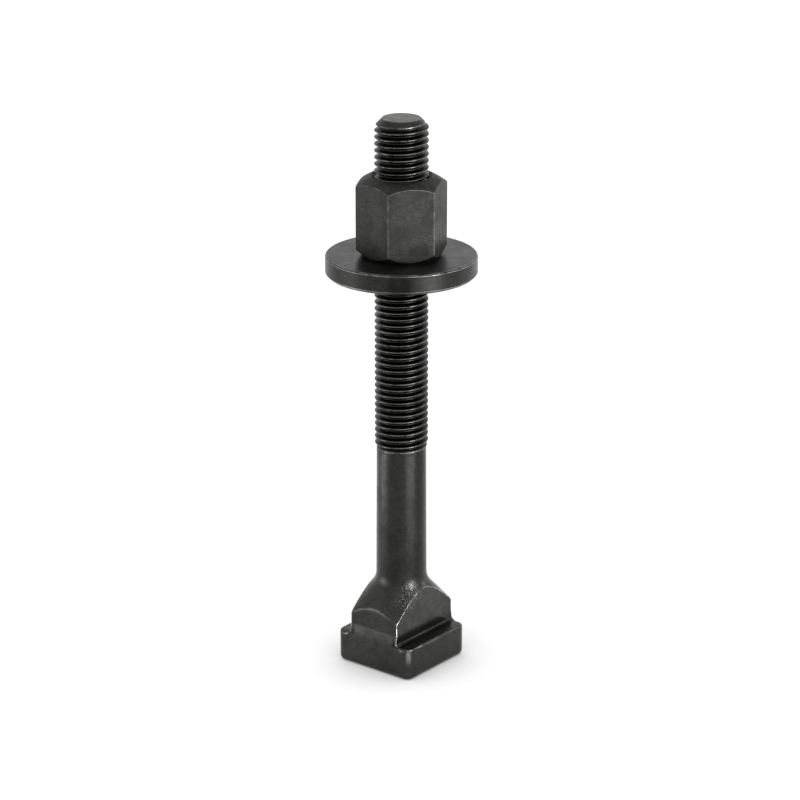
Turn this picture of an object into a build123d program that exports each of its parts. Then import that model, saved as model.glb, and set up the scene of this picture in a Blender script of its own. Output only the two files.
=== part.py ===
from build123d import *
import math
import os

# T slot bolt with its hex nut and washer, standing on the T head.
#
# Frame: the origin is the centre of the head's underside and +Z runs up the bolt's axis.
# The T slot runs along Y, so the milled flats of the neck face +X and -X.
# All sizes are in millimetres and degrees.

# ------------------------------------------------------------------ driving sizes

# metric thread, right hand, with a pitch of 2; it is drawn here at its outer diameter
thread_diameter = 16.0
thread_clearance = 0.05

# bolt, its length measured from the head's bearing ledges to the free end
bolt_length = 160.0
thread_length = 100.0
thread_runout = 1.2
end_chamfer = 2.3

# shank, a little thicker at its foot than under the thread
shank_top_diameter = 14.9
shank_foot_diameter = 15.3

# T head and neck, for the slot that they slide in
slot_width = 18.0
slot_clearance = 0.1
head_side = 28.0
head_height = 10.0
head_corner_radius = 2.4
head_bottom_radius = 1.5
ledge_root_radius = 0.8
shoulder_setback = 0.6
shoulder_height = 3.2

# flare from the neck's corners up to the shank
flare_base_height = 16.9
flare_half_angle = 42.0
flare_root_radius = 6.5
neck_end_radius = 2.4
flare_skirt = 2.5

# hex nut, one and a half diameters high, with a spherical seat on top and a flat one below
nut_across_flats = 24.0
nut_height = 24.0
nut_seat_radius = 22.0
nut_bearing_circle = 22.5
nut_chamfer_angle = 42.0
nut_countersink_diameter = 18.4
nut_corner_angle = 52.4

# washer
washer_diameter = 45.0
washer_bore = 17.0
washer_thickness = 6.0
washer_top_chamfer = 0.4
washer_bottom_chamfer = 0.8
washer_bore_chamfer = 0.5

# height at which the washer stands on the bolt, with the nut on top of it
washer_height = 123.0

# ------------------------------------------------------------------ sizes worked out from them

thread_radius = thread_diameter / 2
shank_top_radius = shank_top_diameter / 2
shank_foot_radius = shank_foot_diameter / 2
bolt_top = head_height + bolt_length
thread_bottom = bolt_top - thread_length

neck_half_width = slot_width / 2 - slot_clearance
neck_half_length = head_side / 2 - shoulder_setback
shoulder_taper = math.degrees(math.atan2(shoulder_setback, shoulder_height))

flare_slope = math.tan(math.radians(flare_half_angle))
flare_base_radius = math.hypot(neck_half_width, neck_half_length)
flare_top = flare_base_height + (flare_base_radius - shank_foot_radius) / flare_slope
skirt_radius = flare_base_radius + flare_skirt
skirt_top = flare_base_height - flare_skirt / flare_slope

washer_top = washer_height + washer_thickness
nut_top = washer_top + nut_height
nut_bore_radius = thread_radius + thread_clearance
nut_corner_radius = nut_across_flats / math.sqrt(3)
nut_chamfer_slope = math.tan(math.radians(nut_chamfer_angle))
nut_bottom_rise = (nut_corner_radius - nut_bearing_circle / 2) * nut_chamfer_slope
nut_rim_radius = nut_countersink_diameter / 2
nut_countersink = nut_rim_radius - nut_bore_radius

# the spherical seat runs from the countersink's rim, at the top, down to the hexagon's corners
seat_rim_angle = math.degrees(math.acos(nut_rim_radius / nut_seat_radius))
seat_corner_angle = math.degrees(math.acos(nut_corner_radius / nut_seat_radius))
seat_centre = nut_top - nut_seat_radius * math.sin(math.radians(seat_rim_angle))


# ------------------------------------------------------------------ T slot bolt

with BuildPart() as t_slot_bolt:
    # turned form: skirt and flare of the forging, shank, thread run-out, thread and end chamfer
    with BuildSketch(Plane.XZ) as turned_section:
        with BuildLine():
            Polyline(
                (0, head_height),
                (skirt_radius, head_height),
                (skirt_radius, skirt_top),
                (shank_foot_radius, flare_top),
                (shank_top_radius, thread_bottom - thread_runout),
                (thread_radius, thread_bottom),
                (thread_radius, bolt_top - end_chamfer),
                (thread_radius - end_chamfer, bolt_top),
                (0, bolt_top),
                close=True,
            )
        make_face()
        flare_root = turned_section.vertices().sort_by_distance((shank_foot_radius, flare_top))[0]
        fillet(flare_root, flare_root_radius)
    revolve(axis=Axis.Z)

    # the neck's two end faces, drawn in from the head's sides, with a soft upper rim
    with BuildSketch(Plane.XY):
        Rectangle(2 * skirt_radius, 2 * neck_half_length)
    extrude(amount=bolt_top, mode=Mode.INTERSECT)
    end_faces = t_slot_bolt.faces().filter_by(Axis.Y)
    end_rims = end_faces.edges().filter_by_position(Axis.Z, skirt_top, flare_top, (False, True))
    fillet(end_rims, neck_end_radius)

    # forged head with its tapered shoulder
    with BuildSketch(Plane.XY):
        RectangleRounded(head_side, head_side, head_corner_radius)
    extrude(amount=head_height)
    fillet(t_slot_bolt.faces().sort_by(Axis.Z)[0].edges(), head_bottom_radius)
    with BuildSketch(Plane.XY.offset(head_height)):
        RectangleRounded(head_side, head_side, head_corner_radius)
    extrude(amount=shoulder_height, taper=shoulder_taper)

    # milled flats and bearing ledges, one cut down each side of the neck
    with BuildSketch(Plane.XZ) as milled_section:
        with Locations((neck_half_width, head_height)):
            Rectangle(head_side, flare_top, align=Align.MIN)
        ledge_root = milled_section.vertices().sort_by_distance((neck_half_width, head_height))[0]
        fillet(ledge_root, ledge_root_radius)
        mirror(about=Plane.YZ)
    extrude(amount=head_side, both=True, mode=Mode.SUBTRACT)

t_slot_bolt.part.label = "t_slot_bolt"


# ------------------------------------------------------------------ hex nut

with BuildPart() as hex_nut:
    with BuildSketch(Plane.XY.offset(washer_top)):
        RegularPolygon(nut_across_flats / 2, 6, major_radius=False, rotation=nut_corner_angle)
    extrude(amount=nut_height)

    # turned form: bore at the thread's widest diameter, countersinks, bearing face, chamfer and seat
    with BuildSketch(Plane.XZ):
        with BuildLine():
            seat = CenterArc(
                (0, seat_centre),
                nut_seat_radius,
                seat_corner_angle,
                seat_rim_angle - seat_corner_angle,
            )
            Polyline(
                seat @ 1,
                (nut_bore_radius, nut_top - nut_countersink),
                (nut_bore_radius, washer_top + nut_countersink),
                (nut_rim_radius, washer_top),
                (nut_bearing_circle / 2, washer_top),
                (nut_corner_radius, washer_top + nut_bottom_rise),
                seat @ 0,
            )
        make_face()
    revolve(axis=Axis.Z, mode=Mode.INTERSECT)

hex_nut.part.label = "hex_nut"


# ------------------------------------------------------------------ flat washer

with BuildPart() as flat_washer:
    with BuildSketch(Plane.XY.offset(washer_height)):
        Circle(washer_diameter / 2)
        Circle(washer_bore / 2, mode=Mode.SUBTRACT)
    extrude(amount=washer_thickness)
    rims = flat_washer.edges().filter_by(GeomType.CIRCLE)
    bore_rims, outer_rims = rims.group_by(SortBy.RADIUS)
    chamfer(bore_rims, washer_bore_chamfer)
    chamfer(outer_rims.sort_by(Axis.Z)[0], washer_bottom_chamfer)
    chamfer(outer_rims.sort_by(Axis.Z)[-1], washer_top_chamfer)

flat_washer.part.label = "flat_washer"


# ------------------------------------------------------------------ export

os.makedirs("parts", exist_ok=True)
export_step(t_slot_bolt.part, "parts/t_slot_bolt.step")
export_step(hex_nut.part, "parts/hex_nut.step")
export_step(flat_washer.part, "parts/flat_washer.step")
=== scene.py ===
import math

import bmesh
import bpy
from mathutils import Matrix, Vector


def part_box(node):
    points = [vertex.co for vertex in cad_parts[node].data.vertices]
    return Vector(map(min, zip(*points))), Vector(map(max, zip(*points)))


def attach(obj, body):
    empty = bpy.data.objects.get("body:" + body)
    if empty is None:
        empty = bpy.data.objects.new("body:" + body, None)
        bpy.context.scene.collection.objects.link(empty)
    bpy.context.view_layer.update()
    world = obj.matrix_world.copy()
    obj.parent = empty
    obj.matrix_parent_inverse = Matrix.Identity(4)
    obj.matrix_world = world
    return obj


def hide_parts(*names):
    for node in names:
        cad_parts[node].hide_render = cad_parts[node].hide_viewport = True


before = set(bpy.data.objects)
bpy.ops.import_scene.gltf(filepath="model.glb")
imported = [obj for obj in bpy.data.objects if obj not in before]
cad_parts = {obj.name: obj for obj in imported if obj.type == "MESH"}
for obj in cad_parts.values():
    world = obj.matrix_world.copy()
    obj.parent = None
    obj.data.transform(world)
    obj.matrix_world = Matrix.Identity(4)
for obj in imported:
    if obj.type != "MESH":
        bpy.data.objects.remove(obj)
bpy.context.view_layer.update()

# The looks of a blackened steel T slot bolt, its tall hex nut and its thick washer.
# Everything is in metres in the CAD frame: +Z up the bolt's axis, the T slot along Y.

MM = 0.001
TAU = 2 * math.pi

# ------------------------------------------------------------------ sizes that the frame gives

bolt_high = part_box("t_slot_bolt")[1]
nut_low, nut_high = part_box("hex_nut")
washer_low, washer_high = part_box("flat_washer")
head_half = bolt_high.x
bolt_top = bolt_high.z
nut_bottom, nut_top = nut_low.z, nut_high.z
washer_bottom, washer_top = washer_low.z, washer_high.z
washer_radius = washer_high.x

# ------------------------------------------------------------------ sizes of the CAD model's forms

thread_radius = 8.0 * MM
thread_pitch = 2.0 * MM
shank_top_radius = 7.45 * MM
shank_foot_radius = 7.65 * MM
end_chamfer = 2.3 * MM

head_height = 10.0 * MM
head_corner = 2.4 * MM
head_bottom_round = 1.5 * MM
ledge_root = 0.8 * MM
neck_half_width = 8.9 * MM
neck_half_length = 13.4 * MM
shoulder_height = 3.2 * MM
flare_base = 16.9 * MM
flare_half_angle = math.radians(42.0)
flare_root = 6.5 * MM
neck_end_round = 2.4 * MM

nut_half_flats = 12.0 * MM
nut_seat_radius = 22.0 * MM
nut_bearing_circle = 11.25 * MM
nut_chamfer_slope = math.tan(math.radians(42.0))
nut_countersink = 9.2 * MM
nut_corner_angle = math.radians(52.4)

washer_bore = 8.5 * MM
washer_bottom_bevel = 0.8 * MM
washer_top_bevel = 0.4 * MM
washer_bore_bevel = 0.5 * MM

# ------------------------------------------------------------------ finish of edges and thread

milled_edge = 0.22 * MM
run_out_edge = 1.3 * MM
apex_round = 2.6 * MM
ledge_edge = 0.3 * MM
ledge_side_edge = 0.7 * MM
forged_edge = 1.1 * MM
crease_round = 0.3 * MM
nut_edge = 0.28 * MM
washer_edge = 0.18 * MM
merge_distance = 0.5e-3 * MM

# rubbing shows on edges rounder than the first radius, and is full on those as sharp as the second
unrubbed_radius = 1.3 * MM
rubbed_radius = 0.4 * MM
least_bend = math.radians(3)
# the head's sides keep only this share of the rubbing, up to just above the ledges
spared_share = 0.35
spared_height = head_height + 0.4 * MM

# metric thread, right hand: its depth on the bolt, and where a crest crosses the X axis
thread_root_radius = 6.78 * MM
thread_phase = 1.14 * MM
runout_bottom = 68.5 * MM
runout_top = 70.6 * MM
nut_thread_minor = 6.93 * MM
nut_thread_major = 8.04 * MM


# ------------------------------------------------------------------ small geometry helpers

def lerp(a, b, t):
    return a + (b - a) * t


def smoothstep(t):
    t = min(max(t, 0.0), 1.0)
    return t * t * (3 - 2 * t)


def soft_min(a, b, width):
    """The smaller of two distances, rounded over where they cross."""
    h = max(width - abs(a - b), 0.0) / width
    return min(a, b) - h * h * width / 4


def rounded_rectangle(theta, half_x, half_y, corner):
    """Distance from the axis to a rounded rectangle's outline, in direction theta."""
    c, s = abs(math.cos(theta)), abs(math.sin(theta))
    along_x = half_x / c if c > 1e-9 else math.inf
    along_y = half_y / s if s > 1e-9 else math.inf
    straight = min(along_x, along_y)
    centre_x, centre_y = half_x - corner, half_y - corner
    if straight * c <= centre_x or straight * s <= centre_y:
        return straight
    along = centre_x * c + centre_y * s
    across = centre_x * s - centre_y * c
    return along + math.sqrt(max(corner * corner - across * across, 0.0))


def on_circle(theta, radius, z):
    return Vector((radius * math.cos(theta), radius * math.sin(theta), z))


def level_row(radius, z):
    return lambda theta: on_circle(theta, radius, z)


def quarter_round(count):
    """Steps of a quarter turn, as (sine, cosine)."""
    angles = [math.pi / 2 * k / count for k in range(count + 1)]
    return [(math.sin(angle), math.cos(angle)) for angle in angles]


def corner_round(start, corner, end, t):
    """A point on the curve that rounds off a corner, from its start at t = 0 to its end at t = 1."""
    return start * (1 - t) ** 2 + corner * 2 * t * (1 - t) + end * t * t


# ------------------------------------------------------------------ rings and helices of vertices

def new_mesh():
    """An empty mesh whose vertices hold their wear and, on a thread, how deep in it they lie."""
    bm = bmesh.new()
    bm.verts.layers.float.new("wear")
    bm.verts.layers.float.new("thread")
    return bm


def add_ring(bm, thetas, point):
    return [bm.verts.new(point(theta)) for theta in thetas]


def join_rings(bm, lower, upper):
    count = len(lower)
    for i in range(count):
        j = (i + 1) % count
        bm.faces.new((lower[i], lower[j], upper[j], upper[i]))


def add_rings(bm, thetas, points):
    """A tube of quads through rings, from the functions that place each ring."""
    rings = [add_ring(bm, thetas, point) for point in points]
    for lower, upper in zip(rings, rings[1:]):
        join_rings(bm, lower, upper)
    return rings[0], rings[-1]


def add_helix(bm, thetas, profile, z_start, turns, surface):
    """A threaded tube whose rows climb one pitch a turn, as columns of vertices.

    profile lists the rows of one turn as fractions of the pitch. surface(z, fraction) gives the radius
    there and what the thread layer holds.
    """
    rows = [(turn, fraction) for turn in range(turns) for fraction in profile] + [(turns, profile[0])]
    thread = bm.verts.layers.float["thread"]
    columns = []
    for theta in thetas:
        column = []
        for turn, fraction in rows:
            z = z_start + thread_pitch * (turn + fraction + theta / TAU)
            radius, share = surface(z, fraction)
            vertex = bm.verts.new(on_circle(theta, radius, z))
            vertex[thread] = share
            column.append(vertex)
        columns.append(column)
    per_turn = len(profile)
    last = len(rows) - 1
    for left, right in zip(columns, columns[1:]):
        for k in range(last):
            bm.faces.new((left[k], right[k], right[k + 1], left[k + 1]))
    # the last column meets the first one turn higher
    left, right = columns[-1], columns[0]
    for k in range(last - per_turn):
        bm.faces.new((left[k], right[k + per_turn], right[k + per_turn + 1], left[k + 1]))
    return columns


def close_helix_start(bm, ring, columns, per_turn):
    """Joins a level ring below a helix to its first row, with a fan at the step."""
    for i in range(len(ring) - 1):
        bm.faces.new((ring[i], ring[i + 1], columns[i + 1][0], columns[i][0]))
    step = [columns[0][k] for k in range(per_turn + 1)]
    bm.faces.new([ring[-1], ring[0]] + step + [columns[-1][0]])


def cut_off(bm, z, direction):
    """Drops what lies above a height (direction 1) or below it (-1), and returns the edges of the cut."""
    everything = list(bm.verts) + list(bm.edges) + list(bm.faces)
    cut = bmesh.ops.bisect_plane(
        bm, geom=everything, plane_co=(0, 0, z), plane_no=(0, 0, direction), clear_outer=True
    )
    return [e for e in cut["geom_cut"] if isinstance(e, bmesh.types.BMEdge)]


def mark_wear(bm):
    """Stores how rubbed each vertex is, from 0 to 1, by how sharply the surface bends outwards there."""
    wear = bm.verts.layers.float["wear"]
    for edge in bm.edges:
        bend = edge.calc_face_angle_signed(0.0)
        if bend <= least_bend:
            continue
        width = sum(face.calc_area() for face in edge.link_faces) / 2 / max(edge.calc_length(), 1e-6)
        sharpness = bend / max(width, 1e-6)
        share = smoothstep((sharpness - 1 / unrubbed_radius) / (1 / rubbed_radius - 1 / unrubbed_radius))
        for vertex in edge.verts:
            vertex[wear] = max(vertex[wear], share)


def spare_wear(bm, top):
    """Leaves only a share of the rubbing below a height."""
    wear = bm.verts.layers.float["wear"]
    for vertex in bm.verts:
        if vertex.co.z < top:
            vertex[wear] *= spared_share


def finish_mesh(name, bm, spared_below=0.0):
    """Turns a mesh into an object of the scene, with its wear marked."""
    bmesh.ops.dissolve_degenerate(bm, dist=merge_distance, edges=bm.edges)
    bm.normal_update()
    mark_wear(bm)
    spare_wear(bm, spared_below)
    mesh = bpy.data.meshes.new(name)
    bm.to_mesh(mesh)
    bm.free()
    mesh.shade_smooth()
    piece = bpy.data.objects.new(name, mesh)
    bpy.context.collection.objects.link(piece)
    weighted = piece.modifiers.new("weighted_normals", "WEIGHTED_NORMAL")
    weighted.mode = "FACE_AREA"
    weighted.weight = 50
    weighted.keep_sharp = True
    return piece


# ------------------------------------------------------------------ thread form

# rows of one turn, as fractions of the pitch above a crest, and how deep each lies from crest to root
thread_rows = (
    (0.0, 0.0),
    (0.05, 0.02),
    (0.09, 0.085),
    (0.24, 0.51),
    (0.39, 0.93),
    (0.44, 0.985),
    (0.5, 1.0),
    (0.56, 0.985),
    (0.61, 0.93),
    (0.76, 0.51),
    (0.91, 0.085),
    (0.95, 0.02),
)
thread_fractions = [fraction for fraction, depth in thread_rows]
thread_depth = dict(thread_rows)
# what the thread layer holds on a crest; it is 0 off the thread and 1 in its root
on_crest = 0.3


def bolt_thread(z, fraction):
    """The rolled thread, rising out of the shank at its run-out and cut by the end chamfer."""
    depth = thread_depth[fraction]
    formed = smoothstep((z - runout_bottom) / (runout_top - runout_bottom))
    rolled = lerp(shank_top_radius, lerp(thread_radius, thread_root_radius, depth), formed)
    end_cone = thread_radius - end_chamfer + (bolt_top - z)
    if end_cone < rolled:
        # the turned cone counts as crest, and as plain metal along the line where the root was
        return end_cone, on_crest if depth < 1 else 0.0
    return rolled, lerp(on_crest, 1.0, depth) * formed


# ------------------------------------------------------------------ T slot bolt

def quadrants(angles):
    """The same directions in all four quadrants, in order round the axis."""
    first = [math.radians(a) for a in angles]
    half = first + [math.pi - a for a in reversed(first) if a > 1e-9 and a < math.pi / 2 - 1e-9]
    return half + [a + math.pi for a in half]


neck_corner = math.degrees(math.atan2(neck_half_length, neck_half_width))
# directions of the bolt's columns of vertices, closest together at the head's and the neck's corners
bolt_thetas = quadrants(
    [0, 4, 8, 12, 16, 20, 24, 28, 32, 36, 39.6, 42.3, 45, 47.7, 50.4, 53]
    + [neck_corner + d for d in (-1.2, -0.55, 0, 0.55, 1.2)]
    + [59.2, 61, 63.5, 67, 71, 75, 80, 85, 90]
)

flare_base_radius = math.hypot(neck_half_width, neck_half_length)
flare_slope = math.tan(flare_half_angle)
flare_corner_z = flare_base + (flare_base_radius - shank_foot_radius) / flare_slope
flare_tangent = flare_root * math.tan(flare_half_angle / 2)
flare_arc_radius_start = shank_foot_radius + flare_tangent * math.sin(flare_half_angle)
flare_arc_z_start = flare_corner_z - flare_tangent * math.cos(flare_half_angle)
flare_arc_z_end = flare_corner_z + flare_tangent


def flare_point(s):
    """Point (radius, z) on the turned flare, s metres up from where cone and root radius meet."""
    if s <= 0:
        return (
            flare_arc_radius_start - s * math.sin(flare_half_angle),
            flare_arc_z_start + s * math.cos(flare_half_angle),
        )
    a = flare_half_angle - s / flare_root
    return (
        shank_foot_radius + flare_root * (1 - math.cos(a)),
        flare_arc_z_end - flare_root * math.sin(a),
    )


def flare_s_at(radius):
    """How far up the flare its radius is the given one."""
    if radius >= flare_arc_radius_start:
        return (flare_arc_radius_start - radius) / math.sin(flare_half_angle)
    a = math.acos(min(1 - (radius - shank_foot_radius) / flare_root, 1.0))
    return (flare_half_angle - a) * flare_root


def folded(theta):
    """The direction's angle from the X axis, in degrees, with the four quadrants laid on each other."""
    return math.degrees(math.atan2(abs(math.sin(theta)), abs(math.cos(theta))))


def side_y(z):
    """How far the forging's end faces reach along Y: upright on the head, leaning in over the shoulder."""
    leaning = head_half - (z - head_height) * (head_half - neck_half_length) / shoulder_height
    return max(soft_min(head_half, leaning, crease_round), neck_half_length)


def flat_x(z):
    """How far the milled flats lie from the YZ plane, with the round at the root of the ledges."""
    drop = max(ledge_root - (z - head_height), 0.0)
    return neck_half_width + ledge_root - math.sqrt(max(ledge_root ** 2 - drop ** 2, 0.0))


def head_outline(theta, inset, z):
    return rounded_rectangle(theta, head_half - inset, side_y(z) - inset, head_corner - inset)


def neck_outline(theta, z):
    """Outline above the ledges: the forging's end faces, cut by the milled flats."""
    c, s = abs(math.cos(theta)), abs(math.sin(theta))
    milled = flat_x(z) / max(c, 1e-9)
    forged = side_y(z) / max(s, 1e-9)
    return soft_min(forged, milled, milled_edge)


def follow_corner(theta, z):
    """Turns the directions near the neck's corner, so that one column of vertices stays on its edge."""
    corner = math.degrees(math.atan2(side_y(z), flat_x(z)))
    near = max(1 - abs(folded(theta) - neck_corner) / 7, 0.0)
    turn = math.radians(corner - neck_corner) * smoothstep(near)
    return theta + math.copysign(turn, math.sin(theta) * math.cos(theta))


def at_run_out(theta):
    """Whether the cutter that milled the flats and ledges ran out in this quadrant, or went in."""
    return math.sin(theta) * math.cos(theta) > 0


def rim_round(theta):
    """Radius of the neck's upper rim, over the milled flats and the soft end faces.

    On a flat it is crisp where the cutter went in, and softer at the apex and where the cutter ran out.
    """
    angle = folded(theta)
    edge = run_out_edge if at_run_out(theta) else milled_edge
    if angle > neck_corner - 2:
        return lerp(edge, neck_end_round, smoothstep((angle - neck_corner + 2) / 4))
    return lerp(apex_round, edge, smoothstep((angle - 12) / 16))


def wall_row(z):
    def point(theta):
        turned = follow_corner(theta, z)
        return on_circle(turned, min(neck_outline(turned, z), head_outline(turned, 0, z)), z)

    return point


def shared_wall_row(t):
    """A row between the shoulder's crease and the start of the upper rim."""

    def point(theta):
        z = lerp(head_height + shoulder_height, rim_start(theta), t)
        return on_circle(theta, neck_outline(theta, flare_base), z)

    return point


def rim_start(theta):
    radius = neck_outline(theta, flare_base)
    rim_z = flare_point(flare_s_at(radius))[1]
    return rim_z - rim_round(theta) * math.tan(flare_half_angle / 2)


def rim_row(t):
    """A row on the round between the neck's wall and the flare."""

    def point(theta):
        wall = neck_outline(theta, flare_base)
        s_corner = flare_s_at(wall)
        tangent = rim_round(theta) * math.tan(flare_half_angle / 2)
        start = Vector((wall, rim_start(theta)))
        corner = Vector(flare_point(s_corner))
        end = Vector(flare_point(s_corner + tangent))
        r, z = corner_round(start, corner, end, t)
        return on_circle(theta, r, z)

    return point


def flare_row(t):
    def point(theta):
        wall = neck_outline(theta, flare_base)
        tangent = rim_round(theta) * math.tan(flare_half_angle / 2)
        s = lerp(flare_s_at(wall) + tangent, flare_half_angle * flare_root, t)
        return on_circle(theta, *flare_point(s))

    return point


def ledge_edge_size(theta):
    """Round on the ledges' outer edge: crisp at the corner where the cutter went in, soft over the ends."""
    angle = folded(theta)
    crisp = 0 if at_run_out(theta) else smoothstep((angle - 26) / 10)
    size = lerp(lerp(ledge_side_edge, ledge_edge, crisp), forged_edge, smoothstep((angle - 42) / 10))
    ledge = head_outline(theta, 0, head_height) - neck_outline(theta, head_height)
    return min(size, max(ledge, 0.0))


def ledge_round_row(sine, cosine):
    def point(theta):
        size = ledge_edge_size(theta)
        drop = max(size, ledge_edge) * (1 - sine)
        z = head_height - drop
        return on_circle(theta, head_outline(theta, size * (1 - cosine), z), z)

    return point


def make_bolt():
    bm = new_mesh()
    rows = []
    for sine, cosine in quarter_round(5):
        inset = head_bottom_round * (1 - sine)
        z = head_bottom_round * (1 - cosine)
        rows.append(lambda theta, inset=inset, z=z: on_circle(theta, head_outline(theta, inset, z), z))
    for share in (0.4, 0.62, 0.84):
        z = head_height * share
        rows.append(lambda theta, z=z: on_circle(theta, head_outline(theta, 0, z), z))
    rows += [ledge_round_row(sine, cosine) for sine, cosine in quarter_round(4)]

    def ledge_row(t):
        def point(theta):
            turned = follow_corner(theta, head_height)
            outer = head_outline(turned, ledge_edge_size(theta), head_height)
            inner = min(neck_outline(turned, head_height), outer)
            return on_circle(lerp(theta, turned, t), lerp(outer, inner, t), head_height)

        return point

    rows.append(ledge_row(0.5))
    rows.append(ledge_row(0.97))
    for sine, cosine in quarter_round(4)[1:]:
        rows.append(wall_row(head_height + ledge_root * (1 - cosine)))
    for t in (0.35, 0.7, 0.95, 1.0):
        rows.append(wall_row(lerp(head_height + ledge_root, head_height + shoulder_height, t)))
    rows += [shared_wall_row(t) for t in (0.05, 0.3, 0.65, 0.95)]
    rows += [rim_row(t) for t in (0.0, 0.25, 0.5, 0.75)]
    rows += [flare_row(t / 14) for t in range(15)]
    # the level rows stop a little over a pitch below the thread, and the helix starts on the plain shank
    shank_rows = 12
    shank_top = runout_bottom - 1.2 * thread_pitch
    for k in range(1, shank_rows + 1):
        z = lerp(flare_arc_z_end, shank_top, k / shank_rows)
        radius = lerp(shank_foot_radius, shank_top_radius, k / shank_rows)
        rows.append(level_row(radius, z))
    first, last = add_rings(bm, bolt_thetas, rows)
    bm.faces.new(list(reversed(first)))

    z_start = thread_phase + math.floor((runout_bottom - 1.1 * thread_pitch) / thread_pitch) * thread_pitch
    turns = math.ceil((bolt_top - z_start) / thread_pitch) + 1
    columns = add_helix(bm, bolt_thetas, thread_fractions, z_start, turns, bolt_thread)
    close_helix_start(bm, last, columns, len(thread_fractions))
    bmesh.ops.holes_fill(bm, edges=cut_off(bm, bolt_top, 1), sides=0)
    bmesh.ops.recalc_face_normals(bm, faces=bm.faces)
    return finish_mesh("t_slot_bolt_steel", bm, spared_height)


# ------------------------------------------------------------------ hex nut

# degrees from a corner of the hexagon, closest together on its round
nut_half_sector = [0, 0.5, 1.0, 1.6, 3, 7, 12, 17, 21, 25, 28]


def nut_directions():
    thetas = []
    for k in range(6):
        corner = nut_corner_angle + k * TAU / 6
        offsets = [-d for d in reversed(nut_half_sector[1:])] + nut_half_sector + [30]
        thetas += [(corner + math.radians(d)) % TAU for d in offsets]
    return sorted(thetas)


def hexagon_radius(theta):
    """Distance to the nut's flats, with softened corners."""
    turn = (theta - nut_corner_angle) % (TAU / 6)
    one = nut_half_flats / math.cos(turn - TAU / 12)
    from_corner = min(turn, TAU / 6 - turn)
    other = nut_half_flats / math.cos(from_corner + TAU / 12)
    return soft_min(one, other, nut_edge)


def nut_bottom_z(radius):
    """The flat bearing face and its chamfer."""
    return nut_bottom + max(radius - nut_bearing_circle, 0.0) * nut_chamfer_slope


def nut_top_z(radius):
    """The spherical seat, which starts at the countersink's rim."""
    below = math.sqrt(nut_seat_radius ** 2 - nut_countersink ** 2)
    return nut_top - below + math.sqrt(nut_seat_radius ** 2 - radius ** 2)


def nut_rim_row(t, end_z, up):
    """A row on the small round between the flats and an end; t runs from the flats inwards."""

    def point(theta):
        wall = hexagon_radius(theta)
        inner = wall - nut_edge / 2
        start = Vector((wall, end_z(wall) - up * nut_edge / 2))
        corner = Vector((wall, end_z(wall)))
        end = Vector((inner, end_z(inner)))
        r, z = corner_round(start, corner, end, t)
        return on_circle(theta, r, z)

    return point


def nut_end_row(t, end_z, circle):
    """A row on an end of the nut, from its rim in to a circle."""

    def point(theta):
        radius = lerp(hexagon_radius(theta) - nut_edge / 2, circle, t)
        return on_circle(theta, radius, end_z(radius))

    return point


def nut_flat_row(t):
    def point(theta):
        wall = hexagon_radius(theta)
        low = nut_bottom_z(wall) + nut_edge / 2
        high = nut_top_z(wall) - nut_edge / 2
        return on_circle(theta, wall, lerp(low, high, t))

    return point


def nut_thread(z, fraction):
    """The tapped hole, opening into a countersink at each end."""
    depth = thread_depth[fraction]
    tapped = lerp(nut_thread_major, nut_thread_minor, depth)
    countersink = nut_countersink - min(nut_top - z, z - nut_bottom)
    if countersink > tapped:
        return countersink, 0.0
    return tapped, lerp(1.0, on_crest, depth)


def make_nut():
    bm = new_mesh()
    thetas = nut_directions()
    rim = 0.06 * MM
    rows = [level_row(nut_countersink, nut_bottom)]
    rows.append(level_row(lerp(nut_countersink, nut_bearing_circle, 0.5), nut_bottom))
    rows += [nut_end_row(t, nut_bottom_z, nut_bearing_circle) for t in (1.0, 0.97, 0.66, 0.33, 0.04)]
    rows += [nut_rim_row(t, nut_bottom_z, -1) for t in (1.0, 0.66, 0.33, 0.0)]
    rows += [nut_flat_row(t) for t in (0.03, 0.3, 0.6, 0.97)]
    rows += [nut_rim_row(t, nut_top_z, 1) for t in (0.0, 0.33, 0.66, 1.0)]
    rows += [nut_end_row(t, nut_top_z, nut_countersink + rim) for t in (0.04, 0.25, 0.5, 0.75, 0.96, 1.0)]
    rows.append(level_row(nut_countersink, nut_top - rim / 2))
    add_rings(bm, thetas, rows)
    add_nut_bore(bm, thetas)
    return finish_mesh("hex_nut_steel", bm)


def add_nut_bore(bm, thetas):
    """The threaded hole, cut to length and joined to the two countersinks."""
    hole = new_mesh()
    below = math.floor((nut_bottom - 1.5 * thread_pitch) / thread_pitch) * thread_pitch
    z_start = below + thread_phase
    turns = math.ceil((nut_top - nut_bottom) / thread_pitch) + 4
    add_helix(hole, thetas, thread_fractions, z_start, turns, nut_thread)
    cut_off(hole, nut_bottom + 0.02 * MM, -1)
    cut_off(hole, nut_top - 0.03 * MM, 1)
    bmesh.ops.reverse_faces(hole, faces=hole.faces)
    scrap = bpy.data.meshes.new("hole")
    hole.to_mesh(scrap)
    hole.free()
    bm.from_mesh(scrap)
    bpy.data.meshes.remove(scrap)
    bm.edges.ensure_lookup_table()
    open_edges = [e for e in bm.edges if e.is_boundary]
    for z, direction in ((nut_bottom, -1), (nut_top, 1)):
        near = [e for e in open_edges if all(abs(v.co.z - z) < 0.2 * MM for v in e.verts)]
        for face in bmesh.ops.bridge_loops(bm, edges=near)["faces"]:
            face.normal_update()
            if face.normal.z * direction < 0:
                face.normal_flip()


# ------------------------------------------------------------------ flat washer

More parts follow.
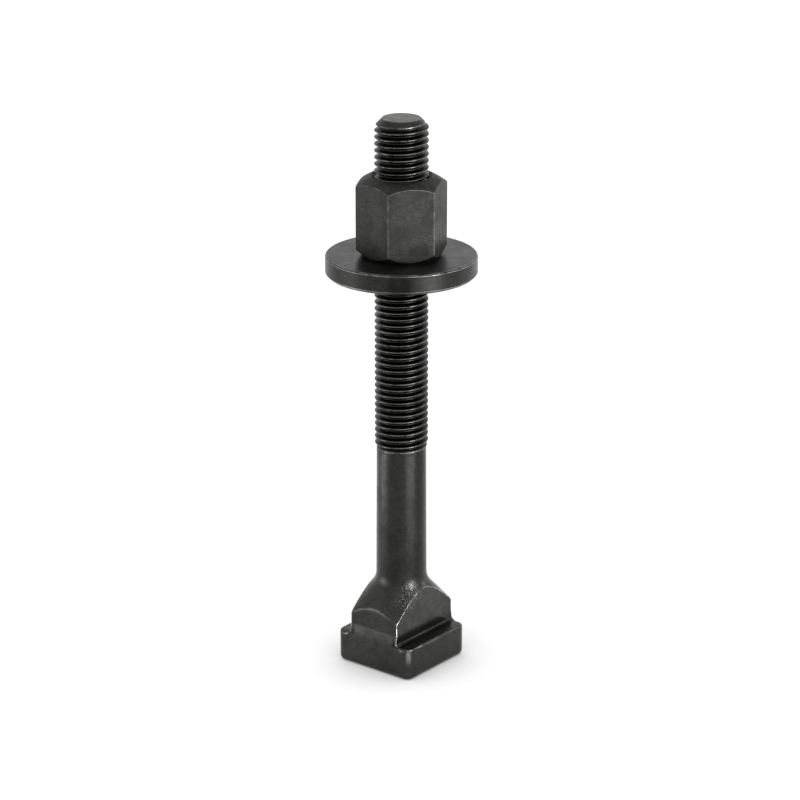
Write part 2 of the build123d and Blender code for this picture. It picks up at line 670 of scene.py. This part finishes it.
def make_washer():
    bm = new_mesh()
    segments = 180
    thetas = [TAU * i / segments for i in range(segments)]
    corners = [
        (washer_bore, washer_bottom + washer_bore_bevel),
        (washer_bore + washer_bore_bevel, washer_bottom),
        (washer_radius - washer_bottom_bevel, washer_bottom),
        (washer_radius, washer_bottom + washer_bottom_bevel),
        (washer_radius, washer_top - washer_top_bevel),
        (washer_radius - washer_top_bevel, washer_top),
        (washer_bore + washer_bore_bevel, washer_top),
        (washer_bore, washer_top - washer_bore_bevel),
    ]
    rings = []
    for i in range(len(corners)):
        before, here, after = (Vector(corners[(i + d) % len(corners)]) for d in (-1, 0, 1))
        start = here + (before - here).normalized() * washer_edge
        end = here + (after - here).normalized() * washer_edge
        for t in (0.0, 0.33, 0.67, 1.0):
            r, z = corner_round(start, here, end, t)
            rings.append(add_ring(bm, thetas, level_row(r, z)))
    for lower, upper in zip(rings, rings[1:] + rings[:1]):
        join_rings(bm, lower, upper)
    bmesh.ops.recalc_face_normals(bm, faces=bm.faces)
    return finish_mesh("flat_washer_steel", bm)


# ------------------------------------------------------------------ materials

# sizes of the oxide's fine grain, of the drawn-out scuffs in its gloss and of the wandering scuffs
grain_size = 0.32 * MM
scuff_size = 0.5 * MM
wander_size = 3 * MM


class Shading:
    """Builds one material's nodes, with short names for the few kinds that blackened steel needs."""

    def __init__(self, name):
        self.material = bpy.data.materials.new(name)
        self.material.use_nodes = True
        self.tree = self.material.node_tree
        self.shader = self.tree.nodes["Principled BSDF"]
        self.place = self.tree.nodes.new("ShaderNodeTexCoord").outputs["Object"]

    def feed(self, socket, value):
        if isinstance(value, bpy.types.NodeSocket):
            self.tree.links.new(value, socket)
        else:
            socket.default_value = value

    def math(self, operation, first, second=0.0):
        node = self.tree.nodes.new("ShaderNodeMath")
        node.operation = operation
        self.feed(node.inputs[0], first)
        self.feed(node.inputs[1], second)
        return node.outputs[0]

    def noise(self, size, detail=3.0, roughness=0.55, stretch=(1, 1, 1), shift=0.0, warp=0.0):
        """Noise whose blotches are about the given size across."""
        mapping = self.tree.nodes.new("ShaderNodeMapping")
        mapping.inputs["Location"].default_value = (shift, shift, shift)
        mapping.inputs["Scale"].default_value = stretch
        self.tree.links.new(self.place, mapping.inputs["Vector"])
        node = self.tree.nodes.new("ShaderNodeTexNoise")
        node.inputs["Scale"].default_value = 1 / size
        node.inputs["Detail"].default_value = detail
        node.inputs["Roughness"].default_value = roughness
        node.inputs["Distortion"].default_value = warp
        self.tree.links.new(mapping.outputs[0], node.inputs["Vector"])
        return node.outputs[0]

    def ramp(self, value, low, high, to_low=0.0, to_high=1.0):
        """Smooth step of a value from one range to another."""
        node = self.tree.nodes.new("ShaderNodeMapRange")
        node.interpolation_type = "SMOOTHSTEP"
        self.feed(node.inputs["Value"], value)
        node.inputs["From Min"].default_value = low
        node.inputs["From Max"].default_value = high
        node.inputs["To Min"].default_value = to_low
        node.inputs["To Max"].default_value = to_high
        return node.outputs["Result"]

    def mix(self, share, first, second):
        node = self.tree.nodes.new("ShaderNodeMix")
        node.data_type = "RGBA"
        self.feed(node.inputs["Factor"], share)
        colours = [socket for socket in node.inputs if socket.type == "RGBA"]
        self.feed(colours[0], first)
        self.feed(colours[1], second)
        return [socket for socket in node.outputs if socket.type == "RGBA"][0]

    def attribute(self, name):
        node = self.tree.nodes.new("ShaderNodeAttribute")
        node.attribute_name = name
        return node.outputs["Fac"]

    def near(self, centre, radius):
        """1 at a point of the part, fading to 0 at the given radius from it."""
        node = self.tree.nodes.new("ShaderNodeVectorMath")
        node.operation = "DISTANCE"
        self.tree.links.new(self.place, node.inputs[0])
        node.inputs[1].default_value = centre
        return self.ramp(node.outputs["Value"], radius, 0.0)

    def scale_colour(self, colour, factor):
        """Makes a colour times a factor the shader's base colour."""
        level = self.tree.nodes.new("ShaderNodeVectorMath")
        level.operation = "SCALE"
        self.feed(level.inputs[0], colour)
        self.feed(level.inputs["Scale"], factor)
        self.feed(self.shader.inputs["Base Color"], level.outputs[0])

    def fed_by(self, name):
        """The socket that feeds one of the shader's inputs."""
        return self.shader.inputs[name].links[0].from_socket

    def bump(self, height, strength, distance):
        node = self.tree.nodes.new("ShaderNodeBump")
        node.inputs["Strength"].default_value = strength
        node.inputs["Distance"].default_value = distance
        self.feed(node.inputs["Height"], height)
        self.feed(self.shader.inputs["Normal"], node.outputs["Normal"])


def grey(level):
    """The slightly warm grey of blackened steel."""
    return (level, level, level * 0.94, 1)


def black_oxide(
    name, dark, light, gloss, blotch, shift, rubbed, grain,
    scuffed=0.0, sheen=1.0, cover=0.0, polished=(), painted_dark_reflections=(),
):
    """Blackened steel: blotchy oxide, a fine matt grain, bare metal on rubbed edges, painted shade that
    blackens each flank of the thread.

    dark and light bound the oxide's reflectance and gloss is its roughness. blotch is the size of its
    blotches, and shift moves them, so that no two pieces match. rubbed is the reflectance of the bare
    edges, grain the depth of the surface's grain and scuffed how much fine wandering scuffs show. sheen
    is the reflectance at a glancing angle, and cover how far the oxide hides the metal under a matt skin.
    polished lists places, each a centre and a radius, where specks of metal show; the last argument lists
    places where a dark reflection is painted into the colour.
    """
    look = Shading(name)
    broad = look.noise(blotch * 4, detail=2, shift=shift)
    blotches = look.noise(blotch, detail=6, roughness=0.66, shift=shift, warp=0.8)
    fine = look.noise(grain_size, detail=2, shift=shift)
    scuffs = look.noise(scuff_size, detail=3, stretch=(1, 1, 0.16), shift=shift + 3)
    tone = look.math("ADD", look.math("MULTIPLY", broad, 0.4), look.math("MULTIPLY", blotches, 0.6))
    oxide = look.mix(look.ramp(tone, 0.36, 0.64), grey(dark), grey(light))
    thread = look.attribute("thread")
    worn = look.math("MULTIPLY", look.attribute("wear"), look.ramp(blotches, 0.34, 0.6, 0.2, 1.0))
    worn = look.math("MULTIPLY", worn, look.ramp(thread, 0.05, on_crest, 0.8, 0.33))
    wander = look.noise(
        wander_size, detail=4, roughness=0.7, stretch=(1, 1, 3), shift=shift + 7, warp=1.5
    )
    off_line = look.math("ABSOLUTE", look.math("SUBTRACT", wander, 0.5))
    scuff = look.math("MULTIPLY", look.ramp(off_line, 0.022, 0.0), look.ramp(broad, 0.42, 0.6))
    worn = look.math("MAXIMUM", worn, look.math("MULTIPLY", scuff, scuffed))
    for centre, radius in polished:
        specks = look.ramp(fine, 0.52, 0.72, 0.0, 0.6)
        worn = look.math("MAXIMUM", worn, look.math("MULTIPLY", specks, look.near(centre, radius)))
    colour = look.mix(worn, oxide, grey(rubbed))
    # painted shade in the thread's grooves: each flank is darkened to black, and its crests and the bottom
    # of its root are not
    crests = look.ramp(thread, 0.36, 0.6, 1.0, 0.2)
    roots = look.ramp(thread, 0.92, 0.98, 0.0, 0.75)
    painted_groove_shade = look.math("MAXIMUM", crests, roots)
    shade = look.math("MULTIPLY", look.ramp(fine, 0.3, 0.75, 0.82, 1.22), painted_groove_shade)
    # painted dark reflections: the colour is darkened round each listed place, blotchy towards its edge
    for centre, radius in painted_dark_reflections:
        painted_dark_spot = look.math("MULTIPLY", look.near(centre, radius), look.ramp(blotches, 0.3, 0.55, 0.25, 1.0))
        shade = look.math("MULTIPLY", shade, look.ramp(painted_dark_spot, 0.0, 0.7, 1.0, 0.25))
    look.scale_colour(colour, shade)
    look.shader.inputs["Metallic"].default_value = 1.0 - cover
    look.shader.inputs["Specular IOR Level"].default_value = 0.4
    look.shader.inputs["Specular Tint"].default_value = (sheen, sheen, sheen, 1)
    matt = look.ramp(tone, 0.35, 0.65, gloss + 0.05, gloss - 0.04)
    matt = look.math("ADD", matt, look.ramp(scuffs, 0.3, 0.7, -0.03, 0.04))
    look.feed(look.shader.inputs["Roughness"], matt)
    relief = look.math("ADD", look.math("MULTIPLY", fine, 0.6), look.math("MULTIPLY", blotches, 0.8))
    look.bump(relief, 0.5, grain)
    return look


def around_axis(angle, radius, z):
    return on_circle(math.radians(angle), radius, z)


def finish_ends(look):
    """Lightens the forged head, partly as painted light, paints light onto the milled flats and the turned
    end, smooths the flats and paints shade into their creases.
    """
    split = look.tree.nodes.new("ShaderNodeSeparateXYZ")
    look.tree.links.new(look.place, split.inputs[0])
    across = look.math("ABSOLUTE", split.outputs["X"])
    up = split.outputs["Z"]
    # painted light, in part: the head and flare are lightened up to 1.45 times, for a lighter forged oxide
    # and for light the head's low sides lack
    forged = look.ramp(up, 30 * MM, 24 * MM, 1.0, 1.45)

    # the milled flats begin above the ledges, and the creases lie where the two meet; shade is painted into
    # the creases, fading up the flats
    off_flat = look.math("ABSOLUTE", look.math("SUBTRACT", across, neck_half_width))
    on_flat = look.ramp(off_flat, 0.3 * MM, 0.1 * MM)
    above_ledge = look.ramp(up, head_height + 0.2 * MM, head_height + 0.8 * MM)
    milled = look.math("MULTIPLY", on_flat, above_ledge)
    near_flat = look.ramp(off_flat, 2.4 * MM, 0.9 * MM)
    crease = look.math("MULTIPLY", near_flat, look.ramp(up, head_height + 5 * MM, head_height))
    from_ledge = look.ramp(up, head_height - 0.4 * MM, head_height - 0.1 * MM)
    crease = look.math("MULTIPLY", crease, from_ledge)
    # painted light: the milled flats are lightened 1.6 times
    painted_light_on_flats = look.ramp(milled, 0.0, 1.0, 1.0, 1.6)
    # painted shade: the creases and the foot of the flats are darkened, down to 0.45 of their colour
    painted_crease_shade = look.ramp(crease, 0.0, 1.0, 1.0, 0.45)
    tone = look.math("MULTIPLY", painted_light_on_flats, painted_crease_shade)

    # painted light on the turned end: its chamfer is lightened 1.4 times and its flat top 2.2 times
    end_face = look.ramp(up, bolt_top - 0.4 * MM, bolt_top - 0.2 * MM, 1.4, 2.2)
    end_cone = look.ramp(up, bolt_top - 2.4 * MM, bolt_top - 1.8 * MM, 0.72, 1.0)
    turned = look.math("MULTIPLY", end_face, end_cone)
    ends = look.math("MULTIPLY", forged, turned)
    look.scale_colour(look.fed_by("Base Color"), look.math("MULTIPLY", ends, tone))
    smooth = look.ramp(milled, 0.0, 1.0, 1.0, 0.55)
    matt = look.math("MULTIPLY", look.fed_by("Roughness"), smooth)
    look.feed(look.shader.inputs["Roughness"], matt)


bolt = make_bolt()
nut = make_nut()
washer = make_washer()
bolt_look = black_oxide(
    "bolt_black_oxide", dark=0.02, light=0.03, gloss=0.34, blotch=2.6 * MM, shift=1.0,
    rubbed=0.32, grain=0.03 * MM, scuffed=0.04,
    polished=(
        (around_axis(-33, 8.9 * MM, 24.4 * MM), 4.6 * MM),
        (around_axis(-44, 10.6 * MM, 22.6 * MM), 4.4 * MM),
    ),
)
finish_ends(bolt_look)
nut_look = black_oxide(
    "nut_black_oxide", dark=0.018, light=0.026, gloss=0.4, blotch=1.6 * MM, shift=5.0,
    rubbed=0.15, grain=0.04 * MM, scuffed=0.3, sheen=0.65, cover=0.3,
)
washer_look = black_oxide(
    "washer_black_oxide", dark=0.011, light=0.018, gloss=0.35, blotch=3.2 * MM, shift=9.0,
    rubbed=0.3, grain=0.035 * MM, scuffed=0.06, cover=0.3,
    # a dark reflection painted on the rim's front, where it faces the camera
    painted_dark_reflections=((around_axis(-53, washer_radius, washer_bottom + 2.5 * MM), 6.5 * MM),),
)
bolt.data.materials.append(bolt_look.material)
nut.data.materials.append(nut_look.material)
washer.data.materials.append(washer_look.material)

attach(bolt, "bolt")
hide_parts("t_slot_bolt")
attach(nut, "nut")
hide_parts("hex_nut")
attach(washer, "washer")
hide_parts("flat_washer")


# ------------------------------------------------------------------ camera

# a long lens that looks down at the bolt from its front corner
camera_heading = math.radians(38.64 - 90)
camera_pitch = math.radians(19.36)
camera_distance = 835.2 * MM
camera_height = 376.9 * MM
camera_sideways = -0.43 * MM
sensor_width = 36
focal_length = 133.27


def make_camera():
    data = bpy.data.cameras.new("camera")
    data.sensor_width = sensor_width
    data.lens = focal_length
    camera = bpy.data.objects.new("camera", data)
    out = Vector((math.cos(camera_heading), math.sin(camera_heading), 0))
    right = Vector((-out.y, out.x, 0))
    camera.location = out * camera_distance + right * camera_sideways + Vector((0, 0, camera_height))
    camera.rotation_euler = (math.pi / 2 - camera_pitch, 0, camera_heading + math.pi / 2)
    bpy.context.collection.objects.link(camera)
    bpy.context.scene.camera = camera


# ------------------------------------------------------------------ floor and world

floor_size = 6.0
floor_colour = (0.85, 0.85, 0.85, 1)
# the floor's glow grows from the first value, this near to the bolt, to the second, this far from it
floor_glow = (0.65, 0.71)
floor_glow_distance = (0.05, 0.6)
# how far the painted soft shadow under the bolt reaches, where the floor's glow is dimmed
painted_shadow_reach = 0.022


def combine(tree, operation, first, second):
    node = tree.nodes.new("ShaderNodeMath")
    node.operation = operation
    tree.links.new(first, node.inputs[0])
    tree.links.new(second, node.inputs[1])
    return node.outputs[0]


def seen_or_mirrored(tree):
    """1 for what the camera sees by itself or in a reflection, 0 for the light that falls on things."""
    path = tree.nodes.new("ShaderNodeLightPath")
    return combine(tree, "MAXIMUM", path.outputs["Is Camera Ray"], path.outputs["Is Glossy Ray"])


def map_range(tree, value, to_low, to_high, low=0.0, high=1.0):
    node = tree.nodes.new("ShaderNodeMapRange")
    node.inputs["From Min"].default_value = low
    node.inputs["From Max"].default_value = high
    node.inputs["To Min"].default_value = to_low
    node.inputs["To Max"].default_value = to_high
    tree.links.new(value, node.inputs["Value"])
    return node.outputs["Result"]


def make_floor_material():
    """White, with a glow that makes up what the lamps leave short of white, and a painted soft shadow close
    to the bolt, where ambient occlusion dims the glow.
    """
    material = bpy.data.materials.new("floor_white")
    material.use_nodes = True
    tree = material.node_tree
    tree.nodes.clear()
    output = tree.nodes.new("ShaderNodeOutputMaterial")
    plain = tree.nodes.new("ShaderNodeBsdfDiffuse")
    plain.inputs["Color"].default_value = floor_colour
    glow = tree.nodes.new("ShaderNodeEmission")
    seen = seen_or_mirrored(tree)
    place = tree.nodes.new("ShaderNodeTexCoord")
    away = tree.nodes.new("ShaderNodeVectorMath")
    away.operation = "LENGTH"
    tree.links.new(place.outputs["Object"], away.inputs[0])
    makeup = map_range(tree, away.outputs["Value"], *floor_glow, *floor_glow_distance)
    painted_shadow_occlusion = tree.nodes.new("ShaderNodeAmbientOcclusion")
    painted_shadow_occlusion.inputs["Distance"].default_value = painted_shadow_reach
    # painted shadow: ambient occlusion dims the glow close to the bolt
    glow_with_painted_shadow = combine(tree, "MULTIPLY", makeup, painted_shadow_occlusion.outputs["AO"])
    tree.links.new(combine(tree, "MULTIPLY", seen, glow_with_painted_shadow), glow.inputs["Strength"])
    total = tree.nodes.new("ShaderNodeAddShader")
    tree.links.new(plain.outputs[0], total.inputs[0])
    tree.links.new(glow.outputs[0], total.inputs[1])
    tree.links.new(total.outputs[0], output.inputs["Surface"])
    return material


def make_floor():
    bm = bmesh.new()
    bmesh.ops.create_grid(bm, x_segments=2, y_segments=2, size=floor_size)
    mesh = bpy.data.meshes.new("floor")
    bm.to_mesh(mesh)
    bm.free()
    floor = bpy.data.objects.new("floor", mesh)
    bpy.context.collection.objects.link(floor)
    mesh.materials.append(make_floor_material())


def make_world():
    """A white surround that lights things half as strongly as it looks."""
    world = bpy.data.worlds.new("studio")
    bpy.context.scene.world = world
    world.use_nodes = True
    tree = world.node_tree
    background = tree.nodes["Background"]
    background.inputs["Color"].default_value = (1, 1, 1, 1)
    strength = map_range(tree, seen_or_mirrored(tree), 0.5, 1.0)
    tree.links.new(strength, background.inputs["Strength"])


# ------------------------------------------------------------------ lamps

# the softboxes light only these, so that they cast no shadow on the floor
lit_pieces = bpy.data.collections.new("lit_pieces")
for piece in (bolt, nut, washer):
    lit_pieces.objects.link(piece)

# what the softboxes aim at, and how high the floor cards lie
lamp_target = Vector((0, 0, 85 * MM))
card_height = 4 * MM


def area_lamp(name, width, length, power):
    """A rectangular lamp that the camera doesn't see."""
    data = bpy.data.lights.new(name, "AREA")
    data.shape = "RECTANGLE"
    data.size = width
    data.size_y = length
    data.energy = power
    lamp = bpy.data.objects.new(name, data)
    lamp.visible_camera = False
    bpy.context.collection.objects.link(lamp)
    return lamp


def softbox(name, azimuth, elevation, distance, width, height, power):
    """A studio lamp for the metal alone; azimuth 0 is over the camera and grows to its right."""
    around = camera_heading + math.radians(azimuth)
    up = math.radians(elevation)
    away = Vector((math.cos(around) * math.cos(up), math.sin(around) * math.cos(up), math.sin(up)))
    lamp = area_lamp(name, width, height, power)
    lamp.location = lamp_target + away * distance
    lamp.rotation_mode = "QUATERNION"
    lamp.rotation_quaternion = (-away).to_track_quat("-Z", "Y")
    lamp.light_linking.receiver_collection = lit_pieces


def floor_card(name, azimuth, distance, width, length, tilt, power):
    """A glowing card that lies on the floor beside the bolt, tilted towards it, and shines up at it."""
    around = camera_heading + math.radians(azimuth)
    lamp = area_lamp(name, width, length, power)
    lamp.location = (math.cos(around) * distance, math.sin(around) * distance, card_height)
    lamp.rotation_euler = (math.pi - math.radians(tilt), 0, around + math.pi / 2)


make_camera()
make_floor()
make_world()
softbox("right_box", azimuth=46, elevation=10, distance=0.7, width=0.24, height=0.44, power=4.8)
softbox("left_side", azimuth=-74, elevation=0, distance=0.6, width=0.2, height=0.2, power=0.5)
softbox("right_side", azimuth=103, elevation=0, distance=0.6, width=0.2, height=0.2, power=0.45)
floor_card("left_card", azimuth=-86, distance=0.16, width=0.1, length=0.16, tilt=25, power=0.26)
floor_card("right_card", azimuth=42, distance=0.17, width=0.12, length=0.16, tilt=25, power=0.3)
floor_card("corner_card", azimuth=9, distance=0.034, width=0.012, length=0.02, tilt=0, power=0.006)

bpy.context.scene.view_settings.view_transform = "Standard"
